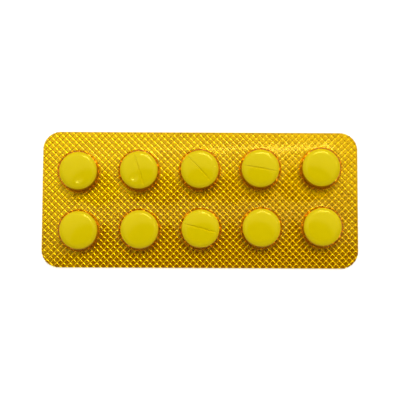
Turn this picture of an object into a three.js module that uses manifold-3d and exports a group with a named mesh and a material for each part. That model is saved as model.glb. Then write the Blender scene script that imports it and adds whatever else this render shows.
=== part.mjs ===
// A strip of ten round tablets in a push-through blister. A tinted clear film is drawn up into
// ten pockets, one tablet lies in each, and a lidding foil is sealed across the film's back.
// Millimetres. +X runs along the strip, +Y across it and +Z up, out of the pockets. The origin
// is the middle of the foil's underside, on which the strip lies.

import * as THREE from "three";
import { mergeVertices } from "three/addons/utils/BufferGeometryUtils.js";
import Module from "manifold-3d";

const wasm = await Module();
wasm.setup();

// The two sheets that are sealed together
const foilThickness = 0.15; // over the embossing that the sealing tool leaves
const filmThickness = 0.25;
const drawnFilmThickness = 0.15; // the film thins where it is drawn up into a pocket

// The grid of pockets, and the card that the die cuts round it
const pocketColumns = 5;
const pocketRows = 2;
const columnGap = 4.1; // flat web between the feet of neighbouring pockets
const rowGap = 3.75;
const endMargin = 3.75; // flat web from the outermost foot to the card's end
const sideMargin = 4.2;
const cardCornerRadius = 4.5;
const gridSkew = 1; // degrees: the die cuts the card this far off the line of the pockets

// A tablet, flat-faced with a bevelled rim, scored across one face
const tabletDiameter = 9.5;
const bandHeight = 2.7; // the straight wall round the tablet
const bevelWidth = 0.75;
const bevelHeight = 0.45;
const scoreWidth = 0.6;
const scoreDepth = 0.35;

// A pocket round its tablet
const sideClearance = 0.3; // from the tablet's upper edge out to the wall
const topClearance = 0.75; // from the tablet's face up to the crown
const edgeClearance = 0.12; // the least from the tablet's upper edge to the shoulder
const wallDraft = 3; // degrees
const footRadius = 0.25; // on the film's upper skin, where the web turns up into the wall
const shoulderRadius = 1.5; // on its inner skin, where the wall turns into the crown
const crownRise = 0.12; // the crown is drawn very slightly domed

// Facets
const roundSegments = 28;
const cornerSegments = 5;
const shoulderSteps = 4;
const footSteps = 2;

// How far a cutter runs past what it cuts, and how near two vertices are to be one
const cutterOvershoot = 1;
const weldTolerance = 1e-4;

// Levels above the underside of the foil
const foilTop = foilThickness;
const webTop = foilTop + filmThickness;
const tabletThickness = bandHeight + 2 * bevelHeight;
const tabletEdgeLevel = foilTop + bevelHeight + bandHeight;
const crownLevel = foilTop + tabletThickness + topClearance;

// The card follows from its pockets
const footDiameter = 2 * (innerWallRadius(webTop) + drawnFilmThickness + footRadius);
const columnPitch = footDiameter + columnGap;
const rowPitch = footDiameter + rowGap;
const cardLength = (pocketColumns - 1) * columnPitch + footDiameter + 2 * endMargin;
const cardWidth = (pocketRows - 1) * rowPitch + footDiameter + 2 * sideMargin;

const filmMaterial = new THREE.MeshStandardMaterial({
  color: 0xe8b000,
  roughness: 0.12,
  metalness: 0,
  transparent: true,
  opacity: 0.45,
});
const foilMaterial = new THREE.MeshStandardMaterial({ color: 0xd9dadb, roughness: 0.32, metalness: 1 });
const tabletMaterial = new THREE.MeshStandardMaterial({ color: 0xe4cf1c, roughness: 0.55, metalness: 0 });

// A closed geometry as a solid that can be joined and cut.
function toSolid(geometry) {
  const bare = geometry.clone();
  bare.deleteAttribute("normal");
  bare.deleteAttribute("uv");
  const merged = mergeVertices(bare, weldTolerance);
  return new wasm.Manifold(
    new wasm.Mesh({
      numProp: 3,
      vertProperties: merged.attributes.position.array,
      triVerts: new Uint32Array(merged.index.array),
    }),
  );
}

// A solid as a flat-shaded geometry.
function toGeometry(solid) {
  const mesh = solid.getMesh();
  const geometry = new THREE.BufferGeometry();
  geometry.setAttribute("position", new THREE.BufferAttribute(mesh.vertProperties, 3));
  geometry.setIndex(new THREE.BufferAttribute(mesh.triVerts, 1));
  const faceted = geometry.toNonIndexed();
  faceted.computeVertexNormals();
  return faceted;
}

// A profile of [radius, level] points, from the axis at the bottom to the axis at the top,
// turned about Z.
function revolve(profile) {
  const points = profile.map(([radius, level]) => new THREE.Vector2(radius, level));
  return new THREE.LatheGeometry(points, roundSegments).rotateX(Math.PI / 2);
}

// Points along an arc, both ends included. Angles are in degrees from the outward direction.
function arcPoints(centreRadius, centreLevel, radius, fromDegrees, toDegrees, steps) {
  return Array.from({ length: steps + 1 }, (_, i) => {
    const angle = THREE.MathUtils.degToRad(fromDegrees + ((toDegrees - fromDegrees) * i) / steps);
    return [centreRadius + radius * Math.cos(angle), centreLevel + radius * Math.sin(angle)];
  });
}

// The card's outline, a rectangle with rounded corners, as a sheet on a level.
function cardSheet(bottom, thickness) {
  const x = cardLength / 2;
  const y = cardWidth / 2;
  const r = cardCornerRadius;
  const outline = new THREE.Shape();
  outline.moveTo(x - r, -y);
  outline.absarc(x - r, -y + r, r, -Math.PI / 2, 0);
  outline.absarc(x - r, y - r, r, 0, Math.PI / 2);
  outline.absarc(-x + r, y - r, r, Math.PI / 2, Math.PI);
  outline.absarc(-x + r, -y + r, r, Math.PI, 1.5 * Math.PI);
  const options = { depth: thickness, bevelEnabled: false, curveSegments: cornerSegments };
  return new THREE.ExtrudeGeometry(outline, options).translate(0, 0, bottom);
}

// The pocket's wall on its inner skin. It leans in as it rises.
function innerWallRadius(level) {
  const lean = Math.tan(THREE.MathUtils.degToRad(wallDraft));
  return tabletDiameter / 2 + sideClearance + (tabletEdgeLevel - level) * lean;
}

// The shoulder on its inner skin, held to the largest that passes the tablet's upper edge.
function innerShoulderRadius() {
  const side = sideClearance;
  const above = crownLevel - tabletEdgeLevel;
  const sum = side + above - edgeClearance;
  const largest = sum + Math.sqrt(sum ** 2 - side ** 2 - above ** 2 + edgeClearance ** 2);
  return Math.min(shoulderRadius, largest);
}

// One skin of a pocket, offset outwards from the inner one: foot, drafted wall, shoulder and
// crown. The foot starts level with footLevel.
function pocketSkin(offset, foot, footLevel) {
  const shoulder = innerShoulderRadius() + offset;
  const wallRadius = (level) => innerWallRadius(level) + offset;
  const footCentre = footLevel + foot;
  const shoulderCentre = crownLevel + offset - shoulder;
  const footStart = wallRadius(footCentre) + foot;
  const shoulderStart = wallRadius(shoulderCentre) - shoulder;
  return [
    ...arcPoints(footStart, footCentre, foot, 270, 180 + wallDraft, footSteps),
    ...arcPoints(shoulderStart, shoulderCentre, shoulder, wallDraft, 90, shoulderSteps),
    [0, crownLevel + offset + crownRise],
  ];
}

// The space inside a pocket, run down past the web so that it cuts through.
function pocketCavity() {
  const skin = pocketSkin(0, footRadius + filmThickness, foilTop);
  const [mouthRadius] = skin[0];
  const below = foilTop - cutterOvershoot;
  return revolve([[0, below], [mouthRadius, below], ...skin]);
}

// The outside of a pocket, rooted halfway down the web.
function pocketShell() {
  const skin = pocketSkin(drawnFilmThickness, footRadius, webTop);
  const [rootRadius] = skin[0];
  const root = foilTop + filmThickness / 2;
  return revolve([[0, root], [rootRadius, root], ...skin]);
}

// The middle of a pocket, counted from column 0 at -X and row 0 at +Y.
function pocketCentre(column, row) {
  const x = (column - (pocketColumns - 1) / 2) * columnPitch;
  const y = ((pocketRows - 1) / 2 - row) * rowPitch;
  const turn = THREE.MathUtils.degToRad(gridSkew);
  return new THREE.Vector2(x, y).rotateAround(new THREE.Vector2(0, 0), turn);
}

function pocketCells() {
  const cells = [];
  for (let row = 0; row < pocketRows; row++) {
    for (let column = 0; column < pocketColumns; column++) {
      cells.push({ row, column, centre: pocketCentre(column, row) });
    }
  }
  return cells;
}

// The thermoformed film: one web with every pocket drawn out of it.
function filmGeometry() {
  const shell = toSolid(pocketShell());
  const cavity = toSolid(pocketCavity());
  let film = toSolid(cardSheet(foilTop, filmThickness));
  for (const { centre } of pocketCells()) {
    film = film.add(shell.translate([centre.x, centre.y, 0]));
  }
  for (const { centre } of pocketCells()) {
    film = film.subtract(cavity.translate([centre.x, centre.y, 0]));
  }
  return toGeometry(film);
}

// The V-shaped cut across a tablet's face, running along X.
function scoreCutter() {
  const mouth = (scoreWidth / 2 / scoreDepth) * (scoreDepth + cutterOvershoot);
  const section = new THREE.Shape([
    new THREE.Vector2(0, -scoreDepth),
    new THREE.Vector2(mouth, cutterOvershoot),
    new THREE.Vector2(-mouth, cutterOvershoot),
  ]);
  const length = tabletDiameter + 2 * cutterOvershoot;
  return new THREE.ExtrudeGeometry(section, { depth: length, bevelEnabled: false })
    .translate(0, 0, -length / 2)
    .rotateX(Math.PI / 2)
    .rotateZ(Math.PI / 2)
    .translate(0, 0, tabletThickness / 2);
}

// A tablet about its own middle, with its score on the +Z face.
function tabletGeometry() {
  const rim = tabletDiameter / 2;
  const faceRadius = rim - bevelWidth;
  const upper = [
    [rim, bandHeight / 2],
    [faceRadius, tabletThickness / 2],
    [0, tabletThickness / 2],
  ];
  const lower = upper.map(([radius, level]) => [radius, -level]).reverse();
  const blank = toSolid(revolve([...lower, ...upper]));
  return toGeometry(blank.subtract(toSolid(scoreCutter())));
}

// How each tablet fell into its pocket, row by row: whether its score faces up, and the way
// the score runs, in degrees from +X.
const fallen = [
  [
    { scoreUp: false, turn: 20 },
    { scoreUp: true, turn: -72 },
    { scoreUp: true, turn: -47 },
    { scoreUp: true, turn: -10 },
    { scoreUp: false, turn: 64 },
  ],
  [
    { scoreUp: false, turn: -35 },
    { scoreUp: false, turn: 81 },
    { scoreUp: true, turn: -15 },
    { scoreUp: false, turn: 8 },
    { scoreUp: false, turn: -58 },
  ],
];

function makeTablets() {
  const tablets = new THREE.Group();
  const geometry = tabletGeometry();
  for (const { row, column, centre } of pocketCells()) {
    const fallenRow = fallen[row % fallen.length];
    const { scoreUp, turn } = fallenRow[column % fallenRow.length];
    const tablet = new THREE.Mesh(geometry, tabletMaterial);
    tablet.name = `tablet_${"abcdefgh"[row]}${column + 1}`;
    tablet.position.set(centre.x, centre.y, foilTop + tabletThickness / 2);
    tablet.rotation.set(scoreUp ? 0 : Math.PI, 0, THREE.MathUtils.degToRad(turn), "ZXY");
    tablets.add(tablet);
  }
  return tablets;
}

function makeFilm() {
  const film = new THREE.Mesh(filmGeometry(), filmMaterial);
  film.name = "blister_film";
  return film;
}

function makeFoil() {
  const foil = new THREE.Mesh(cardSheet(0, foilThickness), foilMaterial);
  foil.name = "lidding_foil";
  return foil;
}

const strip = new THREE.Group();
strip.add(makeFoil(), makeTablets(), makeFilm());

export default strip;
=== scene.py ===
"""Dresses a push-through blister strip of round tablets.

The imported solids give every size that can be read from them. A tinted clear film with drawn
pockets, a knurled foil and the pressed tablets are modelled over those solids, each at its
own place, and a plain studio is set round them.
"""

import logging
import math
from dataclasses import dataclass, field
from enum import Enum
from typing import Any

import bpy
import numpy as np
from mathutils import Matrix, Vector

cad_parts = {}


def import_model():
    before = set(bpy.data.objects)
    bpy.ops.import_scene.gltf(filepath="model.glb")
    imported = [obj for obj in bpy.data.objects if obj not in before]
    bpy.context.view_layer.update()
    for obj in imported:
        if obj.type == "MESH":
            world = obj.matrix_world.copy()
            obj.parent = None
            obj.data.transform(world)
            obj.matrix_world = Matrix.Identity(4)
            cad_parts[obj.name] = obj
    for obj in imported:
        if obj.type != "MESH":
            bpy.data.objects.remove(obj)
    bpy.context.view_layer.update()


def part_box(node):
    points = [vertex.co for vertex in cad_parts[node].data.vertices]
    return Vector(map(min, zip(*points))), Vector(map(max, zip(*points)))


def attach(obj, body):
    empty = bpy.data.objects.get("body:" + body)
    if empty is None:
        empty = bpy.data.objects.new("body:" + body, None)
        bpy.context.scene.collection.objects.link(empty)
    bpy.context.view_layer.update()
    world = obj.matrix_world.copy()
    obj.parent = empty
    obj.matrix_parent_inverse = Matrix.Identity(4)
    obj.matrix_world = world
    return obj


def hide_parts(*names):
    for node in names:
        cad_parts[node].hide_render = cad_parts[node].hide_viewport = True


LOG = logging.getLogger("blister_strip")
MM = 0.001
WHITE = "#ffffff"
CUT_TOLERANCE = 1e-7
MERGE_DISTANCE = 1e-6
END_FACE_Z = 0.9  # the least Z of the normal of a face that closes an end


class Slot(Enum):
    """The record's material slots."""

    FILM = "film"
    FOIL = "foil"
    TABLET = "tablet"


class Face(Enum):
    """Which way a tablet's score faces in its pocket."""

    UP = "up"
    DOWN = "down"


def linear(hex_colour: str) -> tuple[float, float, float, float]:
    """Turns an sRGB hex colour into the linear one that a shader takes.

    Args:
        hex_colour: Six hex digits after a hash, such as "#e0c020".

    Returns:
        Red, green, blue and an alpha of 1.
    """
    channels = [int(hex_colour[i : i + 2], 16) / 255 for i in (1, 3, 5)]
    red, green, blue = (
        c / 12.92 if c <= 0.04045 else ((c + 0.055) / 1.055) ** 2.4 for c in channels
    )
    return (red, green, blue, 1.0)


def add_node(
    tree: bpy.types.NodeTree,
    kind: str,
    inputs: dict[int | str, Any] | None = None,
    **settings: Any,
) -> bpy.types.Node:
    """Adds a node with its settings, values and links.

    Args:
        tree: The node tree to add to.
        kind: The node's type, such as "ShaderNodeMath".
        inputs: Socket name or number to a value, or to the output socket to link from.
        **settings: The node's own properties, such as operation="ADD".

    Returns:
        The new node.
    """
    node = tree.nodes.new(kind)
    for name, value in settings.items():
        setattr(node, name, value)
    for key, value in (inputs or {}).items():
        if isinstance(value, bpy.types.NodeSocket):
            tree.links.new(value, node.inputs[key])
        else:
            node.inputs[key].default_value = value
    return node


def add_math(
    tree: bpy.types.NodeTree,
    operation: str,
    first: bpy.types.NodeSocket,
    second: bpy.types.NodeSocket | float = 0.0,
) -> bpy.types.NodeSocket:
    """Adds a sum on one or two values.

    Args:
        tree: The node tree to add to.
        operation: The kind of sum, such as "MULTIPLY".
        first: The first value.
        second: The second value, which a sum on one value leaves alone.

    Returns:
        The result.
    """
    return add_node(tree, "ShaderNodeMath", {0: first, 1: second}, operation=operation).outputs[0]


def ease(
    tree: bpy.types.NodeTree,
    value: bpy.types.NodeSocket,
    start: float,
    end: float,
    low: bpy.types.NodeSocket | float = 0.0,
    high: bpy.types.NodeSocket | float = 1.0,
) -> bpy.types.NodeSocket:
    """Eases from one value to another while an input crosses a range.

    Args:
        tree: The node tree to add to.
        value: The input.
        start: The input at which the result leaves low.
        end: The input at which the result reaches high. It may be below start.
        low: The result at the start.
        high: The result at the end.

    Returns:
        The result.
    """
    return add_node(
        tree,
        "ShaderNodeMapRange",
        {"Value": value, "From Min": start, "From Max": end, "To Min": low, "To Max": high},
        interpolation_type="SMOOTHSTEP",
    ).outputs[0]


def add_noise(
    tree: bpy.types.NodeTree, place: bpy.types.NodeSocket, scale: float, detail: float
) -> bpy.types.NodeSocket:
    """Adds a noise pattern.

    Args:
        tree: The node tree to add to.
        place: The coordinates that it is drawn on.
        scale: How many times it varies in a unit of those coordinates.
        detail: How many finer octaves it has.

    Returns:
        The pattern's value.
    """
    return add_node(
        tree, "ShaderNodeTexNoise", {"Vector": place, "Scale": scale, "Detail": detail}
    ).outputs[0]


def add_bump(
    tree: bpy.types.NodeTree,
    height: bpy.types.NodeSocket,
    distance: float,
    normal: bpy.types.NodeSocket | None = None,
    **settings: Any,
) -> bpy.types.NodeSocket:
    """Adds relief at full strength.

    Args:
        tree: The node tree to add to.
        height: The relief, from 0 to 1.
        distance: The real height of that relief.
        normal: The normal that it is added to, or none for the mesh's own.
        **settings: The node's own properties, such as invert=True.

    Returns:
        The bumped normal.
    """
    inputs = {"Height": height, "Distance": distance, "Strength": 1.0}
    if normal:
        inputs["Normal"] = normal
    return add_node(tree, "ShaderNodeBump", inputs, **settings).outputs[0]


def mix_colours(
    tree: bpy.types.NodeTree, factor: bpy.types.NodeSocket, first: Any, second: Any
) -> bpy.types.NodeSocket:
    """Mixes two colours.

    Args:
        tree: The node tree to add to.
        factor: 0 gives the first colour and 1 the second.
        first: The first colour, as a value or a socket.
        second: The second colour, as a value or a socket.

    Returns:
        The mixed colour.
    """
    return add_node(
        tree, "ShaderNodeMix", {"Factor": factor, "A": first, "B": second}, data_type="RGBA"
    ).outputs["Result"]


def z_of(tree: bpy.types.NodeTree, vector: bpy.types.NodeSocket) -> bpy.types.NodeSocket:
    """Takes the Z of a vector."""
    return add_node(tree, "ShaderNodeSeparateXYZ", {0: vector}).outputs["Z"]


def new_material(name: str) -> tuple[bpy.types.Material, bpy.types.NodeTree, bpy.types.NodeSocket]:
    """Starts an empty node material.

    Args:
        name: The material's name.

    Returns:
        The material, its tree and the surface socket that its shader goes to.
    """
    material = bpy.data.materials.new(name)
    material.use_nodes = True
    tree = material.node_tree
    tree.nodes.clear()
    output = tree.nodes.new("ShaderNodeOutputMaterial")
    return material, tree, output.inputs["Surface"]


def shows_background(tree: bpy.types.NodeTree) -> bpy.types.NodeSocket:
    """Tells the rays that show the background: the camera's own, and those off metal or film.

    Args:
        tree: The tree of the material or the world.

    Returns:
        A value that is 1 for such a ray and 0 for one that only carries light.
    """
    path = add_node(tree, "ShaderNodeLightPath")
    seen = path.outputs["Is Camera Ray"]
    for ray in ("Is Glossy Ray", "Is Transmission Ray"):
        seen = add_math(tree, "MAXIMUM", seen, path.outputs[ray])
    return seen


@dataclass(frozen=True)
class Knurl:
    """The square knurl of the sealing tool, pressed into the foil at 45 degrees to the card."""

    pitch: float = 1.185 * MM
    groove: float = 0.36 * MM
    depth: float = 0.05 * MM
    turn: float = math.radians(45)

    def lines(self, tree: bpy.types.NodeTree) -> bpy.types.NodeSocket:
        """Draws the same knurl as a pattern on Object coordinates.

        Args:
            tree: The tree of the material that takes the pattern.

        Returns:
            A value that is 1 along the middle of each groove and 0 on the lands.
        """
        place = add_node(tree, "ShaderNodeTexCoord").outputs["Object"]
        turned = add_node(
            tree, "ShaderNodeMapping", {"Vector": place, "Rotation": (0, 0, -self.turn)}
        )
        apart = add_node(tree, "ShaderNodeSeparateXYZ", {0: turned.outputs[0]})
        edge = math.cos(math.pi * self.groove / self.pitch)
        bands = []
        for axis in ("X", "Y"):
            phase = add_math(tree, "MULTIPLY", apart.outputs[axis], math.tau / self.pitch)
            bands.append(ease(tree, add_math(tree, "COSINE", phase), edge, 1.0))
        return add_math(tree, "MAXIMUM", *bands)


@dataclass(frozen=True)
class SlantTint:
    """A deeper tint, which comes in where a skin is steep and is seen edge on.

    The steep values are the Z of the skin's normal, 1 where it lies flat and 0 where it stands
    upright. The facing values are 0 where it is seen head on and 1 where it is seen edge on.
    """

    colour: str
    steep_from: float
    steep_to: float
    facing_from: float
    facing_to: float


@dataclass(frozen=True)
class AmberFilm:
    """Clear PVC sheet tinted amber in the mass, calendered and then drawn by heat.

    It is glossy on both skins. It is a little deeper in the web, which is thicker, and red-brown
    where the eye looks along the wall of a pocket, because the light then runs a long way
    through the tint. A crown that was pushed keeps a small dent that glints.
    """

    web_tint: str = "#faf17c"
    drawn_tint: str = "#fcf89c"
    shoulder: SlantTint = SlantTint(
        "#f8e298", steep_from=0.9, steep_to=0.5, facing_from=0.1, facing_to=0.45
    )
    wall: SlantTint = SlantTint(
        "#f0ca6e", steep_from=0.45, steep_to=0.15, facing_from=0.45, facing_to=0.75
    )
    web_top: float = 0.42 * MM
    drawn_from: float = 0.7 * MM
    gloss: str = "#fff48c"
    gloss_roughness: float = 0.07
    head_on_gloss: float = 0.025
    grazing_gloss: float = 0.6
    grazing_power: float = 5.0
    ripple: float = 5 * MM
    ripple_detail: float = 1.0
    ripple_height: float = 0.003 * MM
    emboss_height: float = 0.006 * MM
    dent_radius: float = 1.2 * MM
    dent_depth: float = 0.19 * MM

    def material(self, knurl: Knurl, dents: list[Vector]) -> bpy.types.Material:
        """Makes the film's material.

        Args:
            knurl: The knurl that shows faintly in the web.
            dents: The places of small dents in the crowns of pockets.

        Returns:
            The material.
        """
        material, tree, surface = new_material("amber_pvc_film")
        facing = add_node(tree, "ShaderNodeLayerWeight").outputs["Facing"]
        through = add_node(
            tree, "ShaderNodeBsdfTransparent", {"Color": self._tint(tree, facing)}
        )
        gloss = add_node(
            tree,
            "ShaderNodeBsdfGlossy",
            {
                "Color": linear(self.gloss),
                "Roughness": self.gloss_roughness,
                "Normal": self._relief(tree, knurl, dents),
            },
        )
        grazing = add_math(tree, "POWER", facing, self.grazing_power)
        share = add_node(
            tree,
            "ShaderNodeMapRange",
            {"Value": grazing, "To Min": self.head_on_gloss, "To Max": self.grazing_gloss},
        )
        shader = add_node(
            tree,
            "ShaderNodeMixShader",
            {0: share.outputs[0], 1: through.outputs[0], 2: gloss.outputs[0]},
        )
        tree.links.new(shader.outputs[0], surface)
        return material

    def _tint(self, tree: bpy.types.NodeTree, facing: bpy.types.NodeSocket) -> bpy.types.NodeSocket:
        """Works out the tint of one skin.

        Args:
            tree: The material's tree.
            facing: 0 where the skin is seen head on and 1 where it is seen edge on.

        Returns:
            The tint.
        """
        coordinates = add_node(tree, "ShaderNodeTexCoord")
        level = z_of(tree, coordinates.outputs["Object"])
        drawn = ease(tree, level, self.web_top, self.drawn_from)
        tint = mix_colours(tree, drawn, linear(self.web_tint), linear(self.drawn_tint))
        upright = add_math(tree, "ABSOLUTE", z_of(tree, coordinates.outputs["Normal"]))
        for slant in (self.shoulder, self.wall):
            steep = ease(tree, upright, slant.steep_from, slant.steep_to)
            edge_on = ease(tree, facing, slant.facing_from, slant.facing_to)
            along = add_math(tree, "MULTIPLY", steep, edge_on)
            tint = mix_colours(tree, along, tint, linear(slant.colour))
        return tint

    def _relief(
        self, tree: bpy.types.NodeTree, knurl: Knurl, dents: list[Vector]
    ) -> bpy.types.NodeSocket:
        """Works out the skin's slight ripple, its dents, and the knurl that shows in the web.

        Args:
            tree: The material's tree.
            knurl: The foil's knurl.
            dents: The places of the dents.

        Returns:
            The bumped normal.
        """
        place = add_node(tree, "ShaderNodeTexCoord").outputs["Object"]
        on_web = add_math(tree, "LESS_THAN", z_of(tree, place), self.web_top)
        emboss = add_math(tree, "MULTIPLY", knurl.lines(tree), on_web)
        ripple = add_noise(tree, place, 1 / self.ripple, self.ripple_detail)
        rippled = add_bump(tree, ripple, self.ripple_height)
        normal = add_bump(tree, emboss, self.emboss_height, rippled, invert=True)
        for dent in dents:
            away = add_node(
                tree, "ShaderNodeVectorMath", {0: place, 1: dent}, operation="DISTANCE"
            )
            hollow = ease(tree, away.outputs["Value"], 0.0, self.dent_radius)
            normal = add_bump(tree, hollow, self.dent_depth, normal)
        return normal


@dataclass(frozen=True)
class RolledFoil:
    """Soft aluminium foil, rolled bright and left bare, then knurled by the sealing tool.

    Rolling leaves a faint grain along the strip, so its shine is silky and not mirror-like. The
    lacquer that seals it scatters a share of the light more widely, and the foil is never quite
    level, so that neighbouring lands of the knurl catch the light differently. On the sealed side
    that scattered share is painted amber-brown, a painted shade tint for the redder light that
    reaches the foil in shade after passing through more of the amber film.
    """

    metal: str = "#e9eaec"
    # painted shade tint: the redder light that reaches the foil in shade through more film
    painted_shade_tint: str = "#dc9c54"
    least_roughness: float = 0.07
    most_roughness: float = 0.15
    lacquer_roughness: float = 0.5
    lacquer_share: float = 0.4
    grain_width: float = 0.12 * MM
    grain_length: float = 4 * MM
    grain_detail: float = 3.0
    grain_height: float = 0.0015 * MM
    relief_detail: float = 1.0
    cockle: float = 7 * MM
    cockle_height: float = 0.07 * MM
    dimple: float = 1.1 * MM
    dimple_height: float = 0.013 * MM

    def material(self) -> bpy.types.Material:
        """Makes the foil's material.

        Returns:
            The material.
        """
        material, tree, surface = new_material("rolled_aluminium_foil")
        place = add_node(tree, "ShaderNodeTexCoord").outputs["Object"]
        along = add_node(
            tree,
            "ShaderNodeMapping",
            {"Vector": place, "Scale": (1 / self.grain_length, 1 / self.grain_width, 1.0)},
        )
        grain = add_noise(tree, along.outputs[0], 1.0, self.grain_detail)
        rough = add_node(
            tree,
            "ShaderNodeMapRange",
            {"Value": grain, "To Min": self.least_roughness, "To Max": self.most_roughness},
        )
        cockles = add_noise(tree, place, 1 / self.cockle, self.relief_detail)
        dimples = add_noise(tree, place, 1 / self.dimple, self.relief_detail)
        cockled = add_bump(tree, cockles, self.cockle_height)
        dimpled = add_bump(tree, dimples, self.dimple_height, cockled)
        grained = add_bump(tree, grain, self.grain_height, dimpled)
        bright = add_node(
            tree,
            "ShaderNodeBsdfPrincipled",
            {
                "Base Color": linear(self.metal),
                "Metallic": 1.0,
                "Roughness": rough.outputs[0],
                "Normal": grained,
            },
        )
        # only the side sealed to the film has the lacquer; its scatter takes the painted amber
        # shade tint
        outward = add_node(tree, "ShaderNodeTexCoord").outputs["Normal"]
        sealed = add_math(tree, "GREATER_THAN", z_of(tree, outward), 0.0)
        scatter_with_painted_shade = mix_colours(tree, sealed, linear(self.metal), linear(self.painted_shade_tint))
        soft = add_node(
            tree,
            "ShaderNodeBsdfPrincipled",
            {
                "Base Color": scatter_with_painted_shade,
                "Metallic": 1.0,
                "Roughness": self.lacquer_roughness,
            },
        )
        shader = add_node(
            tree,
            "ShaderNodeMixShader",
            {0: self.lacquer_share, 1: bright.outputs[0], 2: soft.outputs[0]},
        )
        tree.links.new(shader.outputs[0], surface)
        return material


@dataclass(frozen=True)
class PressedPowder:
    """Yellow powder pressed hard in a die, with no coating.

    It is matte, slightly mottled, and its face has the fine grain of the powder.
    """

    body: str = "#f0e32a"
    pale: str = "#f5ea3a"
    roughness: float = 0.62
    mottle: float = 1.1 * MM
    mottle_detail: float = 4.0
    powder_grain: float = 0.16 * MM
    grain_detail: float = 2.0
    grain_height: float = 0.012 * MM

    def material(self) -> bpy.types.Material:
        """Makes the tablets' material.

        Returns:
            The material.
        """
        material, tree, surface = new_material("pressed_yellow_powder")
        place = add_node(tree, "ShaderNodeTexCoord").outputs["Object"]
        mottle = add_noise(tree, place, 1 / self.mottle, self.mottle_detail)
        grain = add_noise(tree, place, 1 / self.powder_grain, self.grain_detail)
        shader = add_node(
            tree,
            "ShaderNodeBsdfPrincipled",
            {
                "Base Color": mix_colours(tree, mottle, linear(self.body), linear(self.pale)),
                "Roughness": self.roughness,
                "Normal": add_bump(tree, grain, self.grain_height),
            },
        )
        tree.links.new(shader.outputs[0], surface)
        return material


@dataclass(frozen=True)
class PaperSweep:
    """Matte white background paper, lifted to white where a ray shows it, with its shadow kept."""

    paper: str = "#f4f4f3"
    roughness: float = 0.9
    lift: float = 0.35

    def material(self) -> bpy.types.Material:
        """Makes the floor's material.

        Returns:
            The material.
        """
        material, tree, surface = new_material("white_background_paper")
        lifted = add_math(tree, "MULTIPLY", shows_background(tree), self.lift)
        shader = add_node(
            tree,
            "ShaderNodeBsdfPrincipled",
            {
                "Base Color": linear(self.paper),
                "Roughness": self.roughness,
                "Emission Color": linear(WHITE),
                "Emission Strength": lifted,
            },
        )
        tree.links.new(shader.outputs[0], surface)
        return material


def clear_selection() -> None:
    """Leaves edit mode and deselects every object."""
    if bpy.context.object and bpy.context.object.mode != "OBJECT":
        bpy.ops.object.mode_set(mode="OBJECT")
    bpy.ops.object.select_all(action="DESELECT")


def select_only(piece: bpy.types.Object) -> None:
    """Selects one piece and makes it active.

    Args:
        piece: The object to select.
    """
    clear_selection()
    piece.select_set(True)
    bpy.context.view_layer.objects.active = piece


def apply_modifier(piece: bpy.types.Object, kind: str, **settings: Any) -> None:
    """Adds a modifier with its settings and applies it.

    Args:
        piece: The object to modify.
        kind: The modifier's type, such as "SOLIDIFY".
        **settings: The modifier's own properties.
    """
    select_only(piece)
    modifier = piece.modifiers.new(kind.lower(), kind)
    for name, value in settings.items():
        setattr(modifier, name, value)
    bpy.ops.object.modifier_apply(modifier=modifier.name)


def settle(piece: bpy.types.Object) -> None:
    """Applies a piece's place to its mesh, so that its object sits at the origin.

    Args:
        piece: The object to settle.
    """
    select_only(piece)
    bpy.ops.object.transform_apply(location=True, rotation=True, scale=True)


def points_of(piece: bpy.types.Object) -> np.ndarray:
    """Reads a mesh's points.

    Args:
        piece: The mesh object.

    Returns:
        One row of x, y and z for each vertex.
    """
    flat = np.empty(len(piece.data.vertices) * 3)
    piece.data.vertices.foreach_get("co", flat)
    return flat.reshape(-1, 3)


def move_points(piece: bpy.types.Object, points: np.ndarray) -> None:
    """Moves a mesh's points.

    Args:
        piece: The mesh object.
        points: One row for each vertex.
    """
    piece.data.vertices.foreach_set("co", points.ravel())
    piece.data.update()


def dress(piece: bpy.types.Object, material: bpy.types.Material, slot: Slot, *nodes: str) -> None:
    """Gives a piece its material and its body, and hides the nodes that it stands for.

    Args:
        piece: The finished piece.
        material: Its only material.
        slot: The record's slot for it. It is not used.
        *nodes: The CAD nodes that it replaces.
    """
    piece.data.materials.clear()
    piece.data.materials.append(material)
    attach(piece, "root")
    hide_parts(*nodes)
    triangles = sum(len(polygon.vertices) - 2 for polygon in piece.data.polygons)
    LOG.info("%s: %d triangles", piece.name, triangles)


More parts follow.
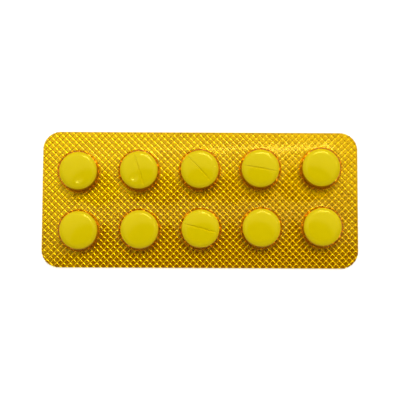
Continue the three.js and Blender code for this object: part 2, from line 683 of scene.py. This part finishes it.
@dataclass
class Card:
    """The die-cut outline that the foil and the film share, and where its pockets are."""

    low: Vector
    high: Vector
    pockets: list[tuple[float, float]]
    corner_radius: float = 4.5 * MM
    corner_steps: int = 12

    @classmethod
    def from_frame(cls, tablet_names: list[str]) -> "Card":
        """Reads the card's box and its pockets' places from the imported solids.

        Args:
            tablet_names: The tablets' nodes, one in each pocket.

        Returns:
            The card.
        """
        low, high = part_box("lidding_foil")
        places = []
        for name in tablet_names:
            near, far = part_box(name)
            places.append(((near.x + far.x) / 2, (near.y + far.y) / 2))
        return cls(low, high, places)

    def outline(self, inset: float) -> list[tuple[float, float]]:
        """Works out the rounded outline.

        Args:
            inset: How far inside the card's edge it runs.

        Returns:
            The points of the outline, anticlockwise.
        """
        radius = self.corner_radius
        centres = (
            (self.high.x - radius, self.high.y - radius),
            (self.low.x + radius, self.high.y - radius),
            (self.low.x + radius, self.low.y + radius),
            (self.high.x - radius, self.low.y + radius),
        )
        reach = radius - inset
        points = []
        for quarter, (x, y) in enumerate(centres):
            for step in range(self.corner_steps + 1):
                angle = math.pi / 2 * (quarter + step / self.corner_steps)
                points.append((x + reach * math.cos(angle), y + reach * math.sin(angle)))
        return points

    def trim(self, piece: bpy.types.Object, inset: float) -> None:
        """Cuts an open sheet along the outline, one straight cut for each edge.

        Args:
            piece: The sheet, larger than the card.
            inset: How far inside the card's edge the cut runs.
        """
        outline = self.outline(inset)
        select_only(piece)
        bpy.ops.object.mode_set(mode="EDIT")
        for (x, y), (next_x, next_y) in zip(outline, outline[1:] + outline[:1]):
            outward = (next_y - y, x - next_x, 0)
            bpy.ops.mesh.select_all(action="SELECT")
            bpy.ops.mesh.bisect(
                plane_co=(x, y, 0), plane_no=outward, clear_outer=True, threshold=CUT_TOLERANCE
            )
        bpy.ops.object.mode_set(mode="OBJECT")


@dataclass
class LiddingFoil:
    """The aluminium foil, knurled wherever the sealing tool pressed it to the film."""

    card: Card
    knurl: Knurl
    gauge: float = 0.03 * MM
    seat_gap: float = 0.004 * MM
    unsealed_radius: float = 4.2 * MM
    sealed_radius: float = 4.5 * MM
    edge_inset: float = 0.02 * MM
    samples_per_pitch: int = 5
    crisp_angle: float = math.radians(20)

    def build(self) -> bpy.types.Object:
        """Models the foil as one sheet with its relief.

        Returns:
            The foil.
        """
        reach = (self.card.high.x + self.card.high.y) / math.sqrt(2)
        cells = 2 * (math.ceil(reach / self.knurl.pitch) + 1)
        clear_selection()
        bpy.ops.mesh.primitive_grid_add(
            x_subdivisions=cells * self.samples_per_pitch,
            y_subdivisions=cells * self.samples_per_pitch,
            size=cells * self.knurl.pitch,
        )
        foil = bpy.context.object
        foil.name = "knurled_foil"
        self._press(foil)
        self.card.trim(foil, self.edge_inset)
        apply_modifier(foil, "SOLIDIFY", thickness=self.gauge, offset=-1.0)
        bpy.ops.object.shade_smooth_by_angle(angle=self.crisp_angle)
        return foil

    def _press(self, foil: bpy.types.Object) -> None:
        """Presses the knurl into the flat grid and turns it to lie across the card.

        Args:
            foil: The flat grid, along the knurl's own directions.
        """
        points = points_of(foil)
        depth = np.zeros(len(points))
        half = self.knurl.groove / 2 / self.knurl.pitch
        for axis in (0, 1):
            phase = points[:, axis] / self.knurl.pitch
            line = np.round(phase)
            # two samples on each side of a groove's middle draw in to it and the land stays flat
            across = np.round((phase - line) * self.samples_per_pitch) / 2
            points[:, axis] = (line + across * half) * self.knurl.pitch
            depth = np.maximum(depth, 1 - across**2)
        cos, sin = math.cos(self.knurl.turn), math.sin(self.knurl.turn)
        x = points[:, 0] * cos - points[:, 1] * sin
        y = points[:, 0] * sin + points[:, 1] * cos
        for pocket_x, pocket_y in self.card.pockets:
            away = np.hypot(x - pocket_x, y - pocket_y) - self.unsealed_radius
            depth *= (away / (self.sealed_radius - self.unsealed_radius)).clip(0, 1)
        top = self.card.high.z - self.seat_gap
        move_points(foil, np.column_stack([x, y, top - depth * self.knurl.depth]))

    def dress(self, foil: bpy.types.Object, finish: RolledFoil) -> None:
        """Gives the foil its finish.

        Args:
            foil: The built foil.
            finish: The foil's finish.
        """
        dress(foil, finish.material(), Slot.FOIL, "lidding_foil")


@dataclass(frozen=True)
class Dent:
    """A small dent in a pocket's crown, and how far from the pocket's middle it is."""

    pocket: int
    right: float
    back: float


@dataclass
class BlisterFilm:
    """The tinted film: a flat web with a pocket drawn up round each tablet."""

    card: Card
    top: float
    web_gauge: float = 0.25 * MM
    drawn_gauge: float = 0.15 * MM
    tablet_radius: float = 4.75 * MM
    edge_level: float = 3.3 * MM
    side_clearance: float = 0.3 * MM
    draft: float = math.radians(3)
    foot_radius: float = 0.25 * MM
    shoulder_radius: float = 1.65 * MM
    crown_rise: float = 0.12 * MM
    segments: int = 64
    foot_steps: int = 4
    wall_steps: int = 3
    shoulder_steps: int = 9
    crown_steps: int = 5
    crisp_angle: float = math.radians(35)
    dents: tuple[Dent, ...] = (
        Dent(pocket=0, right=0.25 * MM, back=-2.5 * MM),
        Dent(pocket=1, right=-1.1 * MM, back=-2.15 * MM),
    )

    def wall_radius(self, level: float) -> float:
        """The outer skin's radius at a level on the drafted wall, in metres."""
        inner = self.tablet_radius + self.side_clearance
        return inner + (self.edge_level - level) * math.tan(self.draft) + self.drawn_gauge

    def profile(self) -> list[tuple[float, float]]:
        """Works out the outer skin of a pocket from its foot to just short of its middle.

        Returns:
            Radius and level of each ring.
        """
        web = self.card.high.z + self.web_gauge
        crown = self.top - self.crown_rise
        foot_level = web + self.foot_radius
        foot_centre = self.wall_radius(foot_level) + self.foot_radius
        shoulder_level = crown - self.shoulder_radius
        shoulder_centre = self.wall_radius(shoulder_level) - self.shoulder_radius
        rings = []
        for step in range(self.foot_steps + 1):
            angle = math.radians(270) - (math.pi / 2 - self.draft) * step / self.foot_steps
            rings.append(
                (
                    foot_centre + self.foot_radius * math.cos(angle),
                    foot_level + self.foot_radius * math.sin(angle),
                )
            )
        for step in range(1, self.wall_steps):
            level = foot_level + (shoulder_level - foot_level) * step / self.wall_steps
            rings.append((self.wall_radius(level), level))
        for step in range(self.shoulder_steps + 1):
            angle = self.draft + (math.pi / 2 - self.draft) * step / self.shoulder_steps
            rings.append(
                (
                    shoulder_centre + self.shoulder_radius * math.cos(angle),
                    shoulder_level + self.shoulder_radius * math.sin(angle),
                )
            )
        for step in range(1, self.crown_steps):
            share = step / self.crown_steps
            radius = shoulder_centre * (1 - share)
            rings.append((radius, crown + self.crown_rise * (1 - (1 - share) ** 2)))
        return rings

    def build(self) -> bpy.types.Object:
        """Models the film as one closed sheet.

        Returns:
            The film.
        """
        pocket = self._pocket()
        pieces = [pocket]
        first_x, first_y = self.card.pockets[0]
        for x, y in self.card.pockets[1:]:
            copy = pocket.copy()
            copy.data = pocket.data.copy()
            bpy.context.scene.collection.objects.link(copy)
            copy.location = (x, y, 0)
            pieces.append(copy)
        pocket.location = (first_x, first_y, 0)
        pieces.append(self._border())
        clear_selection()
        for piece in pieces:
            piece.select_set(True)
        bpy.context.view_layer.objects.active = pocket
        bpy.ops.object.join()
        film = bpy.context.object
        film.name = "drawn_film"
        settle(film)
        self._fill_web(film)
        self._thicken(film)
        return film

    def _pocket(self) -> bpy.types.Object:
        """Extrudes one pocket's outer skin, ring by ring, from its foot.

        Returns:
            The open skin, about its own axis.
        """
        rings = self.profile()
        radius, level = rings[0]
        clear_selection()
        bpy.ops.mesh.primitive_circle_add(
            vertices=self.segments, radius=radius, location=(0, 0, level), fill_type="NOTHING"
        )
        pocket = bpy.context.object
        settle(pocket)
        bpy.ops.object.mode_set(mode="EDIT")
        bpy.ops.mesh.select_all(action="SELECT")
        for next_radius, next_level in rings[1:]:
            bpy.ops.mesh.extrude_edges_move(
                TRANSFORM_OT_translate={"value": (0, 0, next_level - level)}
            )
            scale = next_radius / radius
            bpy.ops.transform.resize(value=(scale, scale, 1), center_override=(0, 0, next_level))
            radius, level = next_radius, next_level
        bpy.ops.mesh.extrude_edges_move(TRANSFORM_OT_translate={"value": (0, 0, self.top - level)})
        bpy.ops.mesh.merge(type="CENTER")
        bpy.ops.object.mode_set(mode="OBJECT")
        return pocket

    def _border(self) -> bpy.types.Object:
        """Makes the card's rounded outline at the top of the web.

        Returns:
            A loop of edges with no face.
        """
        low, high = self.card.low, self.card.high
        clear_selection()
        bpy.ops.mesh.primitive_plane_add(size=1)
        border = bpy.context.object
        border.scale = (high.x - low.x, high.y - low.y, 1)
        border.location = (0, 0, high.z + self.web_gauge)
        settle(border)
        bpy.ops.object.mode_set(mode="EDIT")
        bpy.ops.mesh.select_all(action="SELECT")
        bpy.ops.mesh.bevel(
            offset=self.card.corner_radius, segments=self.card.corner_steps, affect="VERTICES"
        )
        bpy.ops.mesh.delete(type="ONLY_FACE")
        bpy.ops.object.mode_set(mode="OBJECT")
        return border

    def _fill_web(self, film: bpy.types.Object) -> None:
        """Fills the web between the outline and the feet of the pockets.

        Args:
            film: The joined skins and outline.
        """
        bpy.ops.object.mode_set(mode="EDIT")
        bpy.ops.mesh.select_mode(type="EDGE")
        bpy.ops.mesh.select_all(action="DESELECT")
        bpy.ops.mesh.select_non_manifold(
            extend=False, use_wire=True, use_boundary=True, use_multi_face=False,
            use_non_contiguous=False, use_verts=False,
        )
        bpy.ops.mesh.fill(use_beauty=True)
        bpy.ops.mesh.select_all(action="SELECT")
        bpy.ops.mesh.remove_doubles(threshold=MERGE_DISTANCE)
        bpy.ops.mesh.normals_make_consistent(inside=False)
        bpy.ops.mesh.select_mode(type="VERT")
        bpy.ops.object.mode_set(mode="OBJECT")

    def _thicken(self, film: bpy.types.Object) -> None:
        """Gives the skin its thickness, thinner where it was drawn.

        Args:
            film: The open outer skin.
        """
        web = self.card.high.z + self.web_gauge
        levels = points_of(film)[:, 2]
        drawn = ((levels - web) / self.foot_radius).clip(0, 1)
        gauge = film.vertex_groups.new(name="gauge")
        for index, share in enumerate(drawn):
            thickness = self.web_gauge + (self.drawn_gauge - self.web_gauge) * share
            gauge.add([index], thickness / self.web_gauge, "REPLACE")
        apply_modifier(
            film, "SOLIDIFY", thickness=self.web_gauge, offset=-1.0, vertex_group="gauge",
            use_even_offset=True,
        )
        bpy.ops.object.shade_smooth_by_angle(angle=self.crisp_angle)

    def dress(self, film: bpy.types.Object, finish: AmberFilm, knurl: Knurl) -> None:
        """Gives the film its finish.

        Args:
            film: The built film.
            finish: The film's finish.
            knurl: The knurl that shows faintly in the web.
        """
        places = []
        for dent in self.dents:
            x, y = self.card.pockets[dent.pocket]
            places.append(Vector((x + dent.right, y + dent.back, self.top - self.crown_rise)))
        dress(film, finish.material(knurl, places), Slot.FILM, "blister_film")


@dataclass
class Tablet:
    """A tablet with slightly domed faces and a bevelled rim, scored across one face.

    The bar that cuts the score is bar_scale times as wide and as high as the score itself.
    """

    diameter: float = 9.5 * MM
    band_height: float = 2.7 * MM
    bevel_width: float = 0.75 * MM
    bevel_height: float = 0.45 * MM
    score_width: float = 0.6 * MM
    score_depth: float = 0.35 * MM
    bar_scale: float = 4.0
    face_rise: float = 0.14 * MM
    face_steps: int = 5
    worn_edge: float = 0.07 * MM
    worn_steps: int = 2
    worn_from: float = math.radians(20)
    crisp_angle: float = math.radians(30)
    segments: int = 96

    @property
    def thickness(self) -> float:
        """The tablet's whole thickness, in metres."""
        return self.band_height + 2 * self.bevel_height

    def face_rings(self) -> list[tuple[float, float]]:
        """Works out one end of the tablet, from the bevel's inner edge up the slight dome.

        Returns:
            Radius and level of each ring.
        """
        rim = self.diameter / 2 - self.bevel_width
        shares = [1 - step / self.face_steps for step in range(self.face_steps)]
        return [(rim * s, self.thickness / 2 - self.face_rise * s**2) for s in shares]

    def build(self) -> bpy.types.Object:
        """Models one tablet about its own middle, with its score on the +Z face.

        Returns:
            The tablet.
        """
        clear_selection()
        bpy.ops.mesh.primitive_cylinder_add(
            vertices=self.segments, radius=self.diameter / 2, depth=self.band_height
        )
        tablet = bpy.context.object
        for side in (1, -1):
            self._bevel_rim(tablet, side)
        self._score(tablet)
        apply_modifier(
            tablet, "BEVEL", width=self.worn_edge, segments=self.worn_steps,
            limit_method="ANGLE", angle_limit=self.worn_from,
        )
        bpy.ops.object.shade_smooth_by_angle(angle=self.crisp_angle)
        return tablet

    def _bevel_rim(self, tablet: bpy.types.Object, side: int) -> None:
        """Draws one end of the band in along its bevel and then up its slight dome.

        Args:
            tablet: The band, as a cylinder.
            side: 1 for the upper end and -1 for the lower.
        """
        bpy.context.view_layer.objects.active = tablet
        bpy.ops.object.mode_set(mode="EDIT")
        bpy.ops.mesh.select_mode(type="FACE")
        bpy.ops.mesh.select_all(action="DESELECT")
        bpy.ops.object.mode_set(mode="OBJECT")
        for polygon in tablet.data.polygons:
            polygon.select = polygon.normal.z * side > END_FACE_Z
        bpy.ops.object.mode_set(mode="EDIT")
        radius, level = self.diameter / 2, self.band_height / 2
        for next_radius, next_level in self.face_rings():
            bpy.ops.mesh.extrude_region_move(
                TRANSFORM_OT_translate={"value": (0, 0, side * (next_level - level))}
            )
            scale = next_radius / radius
            bpy.ops.transform.resize(
                value=(scale, scale, 1), center_override=(0, 0, side * next_level)
            )
            radius, level = next_radius, next_level
        bpy.ops.object.mode_set(mode="OBJECT")

    def _score(self, tablet: bpy.types.Object) -> None:
        """Cuts the score with a three-sided bar laid across the upper face.

        Args:
            tablet: The blank tablet.
        """
        bpy.ops.object.select_all(action="DESELECT")
        bpy.ops.mesh.primitive_cylinder_add(vertices=3, radius=1, depth=2 * self.diameter)
        cutter = bpy.context.object
        # the bar's section is an equilateral triangle with its first point along +Y
        cutter.rotation_euler = (-math.pi / 2, 0, math.pi / 2)
        settle(cutter)
        points = points_of(cutter)
        tip = points[:, 2].min()
        run = points[:, 2].max() - tip
        points[:, 1] *= self.bar_scale * self.score_width / np.ptp(points[:, 1])
        points[:, 2] = (points[:, 2] - tip) / run * self.bar_scale * self.score_depth
        points[:, 2] += self.thickness / 2 - self.score_depth
        move_points(cutter, points)
        apply_modifier(tablet, "BOOLEAN", object=cutter, operation="DIFFERENCE", solver="EXACT")
        bpy.data.objects.remove(cutter)


@dataclass
class FallenTablet:
    """How one tablet fell into its pocket."""

    node: str
    score: Face
    turn: float


@dataclass
class TabletSet:
    """All the tablets, each a copy of one, lying in its pocket as it fell."""

    pattern: Tablet = field(default_factory=Tablet)
    fallen: tuple[FallenTablet, ...] = (
        FallenTablet("tablet_a1", Face.DOWN, math.radians(20)),
        FallenTablet("tablet_a2", Face.UP, math.radians(-72)),
        FallenTablet("tablet_a3", Face.UP, math.radians(-47)),
        FallenTablet("tablet_a4", Face.UP, math.radians(-10)),
        FallenTablet("tablet_a5", Face.DOWN, math.radians(64)),
        FallenTablet("tablet_b1", Face.DOWN, math.radians(-35)),
        FallenTablet("tablet_b2", Face.DOWN, math.radians(81)),
        FallenTablet("tablet_b3", Face.UP, math.radians(-15)),
        FallenTablet("tablet_b4", Face.DOWN, math.radians(8)),
        FallenTablet("tablet_b5", Face.DOWN, math.radians(-58)),
    )

    def names(self) -> list[str]:
        """The tablets' nodes, in order."""
        return [tablet.node for tablet in self.fallen]

    def build(self) -> list[bpy.types.Object]:
        """Models one tablet and lays a copy of it in each pocket.

        Returns:
            The tablets, in order.
        """
        first = self.pattern.build()
        laid = []
        for fallen in self.fallen:
            low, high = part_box(fallen.node)
            tablet = first.copy()
            tablet.data = first.data.copy()
            bpy.context.scene.collection.objects.link(tablet)
            tablet.name = f"pressed_{fallen.node}"
            tablet.rotation_mode = "ZXY"
            over = 0 if fallen.score is Face.UP else math.pi
            tablet.rotation_euler = (over, 0, fallen.turn)
            tablet.location = (low + high) / 2
            settle(tablet)
            laid.append(tablet)
        bpy.data.objects.remove(first)
        return laid

    def dress(self, tablets: list[bpy.types.Object], finish: PressedPowder) -> None:
        """Gives the tablets their finish.

        Args:
            tablets: The tablets, in order.
            finish: The tablets' finish.
        """
        material = finish.material()
        for tablet, fallen in zip(tablets, self.fallen):
            dress(tablet, material, Slot.TABLET, fallen.node)


@dataclass
class Softbox:
    """A rectangular lamp that looks at the middle of the strip. Its angles are in degrees."""

    name: str
    azimuth: float
    zenith: float
    distance: float
    width: float
    height: float
    share: float

    def hang(self) -> None:
        """Puts the lamp in its place. A share of 1 alone lights matte white to white."""
        data = bpy.data.lights.new(self.name, "AREA")
        data.shape = "RECTANGLE"
        data.size = self.width
        data.size_y = self.height
        data.energy = self.share * math.pi**2 * self.distance**2
        lamp = bpy.data.objects.new(self.name, data)
        bpy.context.scene.collection.objects.link(lamp)
        azimuth, zenith = math.radians(self.azimuth), math.radians(self.zenith)
        lamp.location = Vector(
            (
                math.sin(zenith) * math.cos(azimuth),
                math.sin(zenith) * math.sin(azimuth),
                math.cos(zenith),
            )
        ) * self.distance
        lamp.rotation_euler = lamp.location.to_track_quat("Z", "Y").to_euler()


@dataclass
class Studio:
    """White paper, soft lamps and a camera that looks almost straight down.

    Angles are in degrees. The room is brightest behind the strip and dimmest in front of it,
    and its walls have side_share of the light overhead. A dark patch round shade_middle stands
    for the camera and whoever holds it, whose reflection darkens the lands of the knurl. The
    window values are the Y of a direction, the overhead and ground values its Z, and the shade
    values its angle from shade_middle.
    """

    distance: float = 0.3
    azimuth: float = 0.27
    elevation: float = 84
    frame_width: float = 101.35 * MM
    aim: tuple[float, float] = (-0.02 * MM, -0.04 * MM)
    sensor: float = 36.0
    clip_start: float = 0.01
    clip_end: float = 10.0
    back_light: float = 1.7
    front_light: float = 0.38
    side_share: float = 0.42
    window_from: float = -0.2
    window_to: float = 0.4
    overhead_from: float = 0.45
    overhead_to: float = 0.85
    ground_from: float = 0.45
    ground_to: float = 0.2
    shade: float = 0.0
    shade_middle: tuple[float, float, float] = (0.018, -0.0523, 0.9985)
    shade_from: float = 12.5
    shade_to: float = 9.3
    floor_size: float = 12.0
    floor_level: float = -0.05 * MM
    lamps: tuple[Softbox, ...] = (
        Softbox(
            "key_softbox", azimuth=75, zenith=29, distance=1.0, width=0.3, height=0.34, share=0.21
        ),
        Softbox(
            "small_side_lamp", azimuth=22, zenith=32, distance=1.0, width=0.05, height=0.05,
            share=0.006,
        ),
    )

    def build(self, target_level: float) -> None:
        """Sets up the floor, the lamps, the world and the camera.

        Args:
            target_level: The height of the web, which the camera is focused on.
        """
        self._floor()
        for lamp in self.lamps:
            lamp.hang()
        self._world()
        self._camera(target_level)

    def _floor(self) -> None:
        """Lays the paper sweep under the strip."""
        clear_selection()
        bpy.ops.mesh.primitive_plane_add(size=self.floor_size, location=(0, 0, self.floor_level))
        floor = bpy.context.object
        floor.name = "paper_floor"
        settle(floor)
        floor.data.materials.append(PaperSweep().material())

    def _world(self) -> None:
        """Lights the room, most from overhead behind and least round the camera."""
        world = bpy.data.worlds.new("studio_room")
        bpy.context.scene.world = world
        world.use_nodes = True
        tree = world.node_tree
        tree.nodes.clear()
        direction = add_node(tree, "ShaderNodeTexCoord").outputs["Generated"]
        apart = add_node(tree, "ShaderNodeSeparateXYZ", {0: direction})
        window = ease(
            tree, apart.outputs["Y"], self.window_from, self.window_to,
            self.front_light, self.back_light,
        )
        overhead = ease(
            tree, apart.outputs["Z"], self.overhead_from, self.overhead_to, self.side_share
        )
        walls = add_math(tree, "MULTIPLY", window, overhead)
        toward_camera = add_node(
            tree,
            "ShaderNodeVectorMath",
            {0: direction, 1: self.shade_middle},
            operation="DOT_PRODUCT",
        )
        room = ease(
            tree,
            toward_camera.outputs["Value"],
            math.cos(math.radians(self.shade_from)),
            math.cos(math.radians(self.shade_to)),
            walls,
            self.shade,
        )
        below = ease(tree, apart.outputs["Z"], self.ground_from, self.ground_to)
        ground = add_math(tree, "MULTIPLY", shows_background(tree), below)
        strength = add_node(
            tree, "ShaderNodeMapRange", {"Value": ground, "To Min": room, "To Max": 1.0}
        )
        light = add_node(
            tree,
            "ShaderNodeBackground",
            {"Color": linear(WHITE), "Strength": strength.outputs[0]},
        )
        output = add_node(tree, "ShaderNodeOutputWorld")
        tree.links.new(light.outputs[0], output.inputs["Surface"])

    def _camera(self, target_level: float) -> None:
        """Hangs the camera over the strip.

        Args:
            target_level: The height of the web.
        """
        data = bpy.data.cameras.new("camera")
        data.sensor_width = self.sensor
        data.lens = self.sensor * self.distance / self.frame_width
        data.clip_start = self.clip_start
        data.clip_end = self.clip_end
        camera = bpy.data.objects.new("camera", data)
        bpy.context.scene.collection.objects.link(camera)
        azimuth, elevation = math.radians(self.azimuth), math.radians(self.elevation)
        back = Vector(
            (
                math.sin(azimuth) * math.cos(elevation),
                -math.cos(azimuth) * math.cos(elevation),
                math.sin(elevation),
            )
        )
        camera.location = Vector((*self.aim, target_level)) + back * self.distance
        camera.rotation_euler = back.to_track_quat("Z", "Y").to_euler()
        bpy.context.scene.camera = camera


def main() -> None:
    """Builds and dresses the strip, piece by piece, and sets the studio round it."""
    logging.basicConfig(level=logging.INFO, format="%(name)s: %(message)s")
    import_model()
    bpy.context.scene.view_settings.view_transform = "Standard"

    knurl = Knurl()
    tablets = TabletSet()
    card = Card.from_frame(tablets.names())

    foil = LiddingFoil(card, knurl)
    foil.dress(foil.build(), RolledFoil())

    tablets.dress(tablets.build(), PressedPowder())

    film = BlisterFilm(card, top=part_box("blister_film")[1].z)
    film.dress(film.build(), AmberFilm(), knurl)

    Studio().build(card.high.z + film.web_gauge)


if __name__ == "__main__":
    main()
